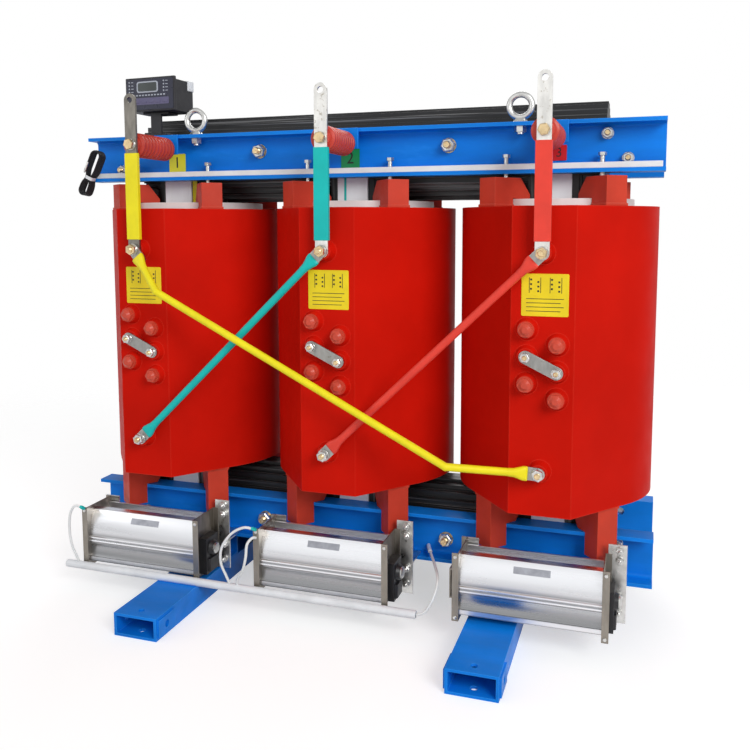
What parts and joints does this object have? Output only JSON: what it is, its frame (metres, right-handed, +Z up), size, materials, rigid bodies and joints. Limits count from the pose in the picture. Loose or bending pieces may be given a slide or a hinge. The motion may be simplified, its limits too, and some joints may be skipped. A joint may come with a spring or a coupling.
{
  "type": "dry-type power transformer",
  "caption": "Dry-type cast-resin power transformer: round coils on a stepped core, channel clamps, bars on post insulators, delta links, cross-flow fans and skids.",
  "frame": {"origin": "floor under the middle limb, at the centre of the bottom of the box", "axes": "+X along the row of limbs to the right seen from the high-voltage side, -Y towards the high-voltage front, +Z up"},
  "size_m": [1.3597, 0.93, 1.2113],
  "materials": {
    "core_lacquer": "black lacquer on stacked laminations",
    "tie_zinc": "pale zinc-plated plate",
    "frame_blue": "semi-gloss blue paint",
    "lv_resin": "resin-impregnated foil winding",
    "barrier_white": "white insulating board",
    "coil_red": "glossy red cast resin",
    "block_red": "satin red moulded resin",
    "insulator_red": "glossy red-brown moulded resin",
    "zinc_steel": "zinc-plated steel",
    "tinned_copper": "dull tin plating",
    "sleeve_yellow": "yellow shrink sleeve",
    "sleeve_teal": "teal shrink sleeve",
    "sleeve_red": "coral red shrink sleeve",
    "controller_black": "black moulded plastic",
    "white_plastic": "white plastic",
    "fan_aluminium": "bright extruded aluminium",
    "plate_grey": "grey-brown coated sheet",
    "fan_black": "black enamel",
    "white_cable": "white cable jacket",
    "black_cable": "black cable jacket"
  },
  "bodies": {
    "root": {"core_upper_yoke": "core_lacquer", "core_lower_yoke": "core_lacquer", "core_limb_1": "core_lacquer", "core_limb_2": "core_lacquer", "core_limb_3": "core_lacquer", "limb_tie_plates": "tie_zinc", "upper_clamp_front": "frame_blue", "upper_clamp_rear": "frame_blue", "lower_clamp_front": "frame_blue", "lower_clamp_rear": "frame_blue", "skid_left": "frame_blue", "skid_right": "frame_blue", "skid_feet": "frame_blue", "lv_coil_1": "lv_resin", "lv_coil_2": "lv_resin", "lv_coil_3": "lv_resin", "barrier_cylinders": "barrier_white", "hv_coil_1": "coil_red", "hv_coil_2": "coil_red", "hv_coil_3": "coil_red", "upper_press_blocks": "block_red", "lower_press_blocks": "block_red", "press_screws": "zinc_steel", "insulator_plates": "frame_blue", "post_insulators": "insulator_red", "hv_bar_1": "tinned_copper", "hv_bar_2": "tinned_copper", "hv_bar_3": "tinned_copper", "hv_sleeve_1": "sleeve_yellow", "hv_sleeve_2": "sleeve_teal", "hv_sleeve_3": "sleeve_red", "delta_link_1": "tinned_copper", "delta_link_2": "tinned_copper", "delta_link_3": "tinned_copper", "delta_sleeve_1": "sleeve_yellow", "delta_sleeve_2": "sleeve_teal", "delta_sleeve_3": "sleeve_red", "tap_links": "tinned_copper", "tap_caps": "coil_red", "lifting_eyes": "zinc_steel", "controller_box": "controller_black", "controller_stand": "controller_black", "sensor_trunking": "white_plastic", "fan_housings_front": "fan_aluminium", "fan_housings_rear": "fan_aluminium", "fan_end_plates": "plate_grey", "fan_impellers": "fan_black", "fan_motors": "fan_black", "fan_brackets": "zinc_steel", "fan_conduit": "white_plastic", "lv_bars": "tinned_copper", "neutral_risers": "tinned_copper", "neutral_bar": "tinned_copper", "fan_lead_1": "white_cable", "fan_lead_2": "white_cable", "fan_lead_3": "white_cable", "fan_lead_4": "white_cable", "sensor_cable_hank": "black_cable"}
  },
  "joints": []
}
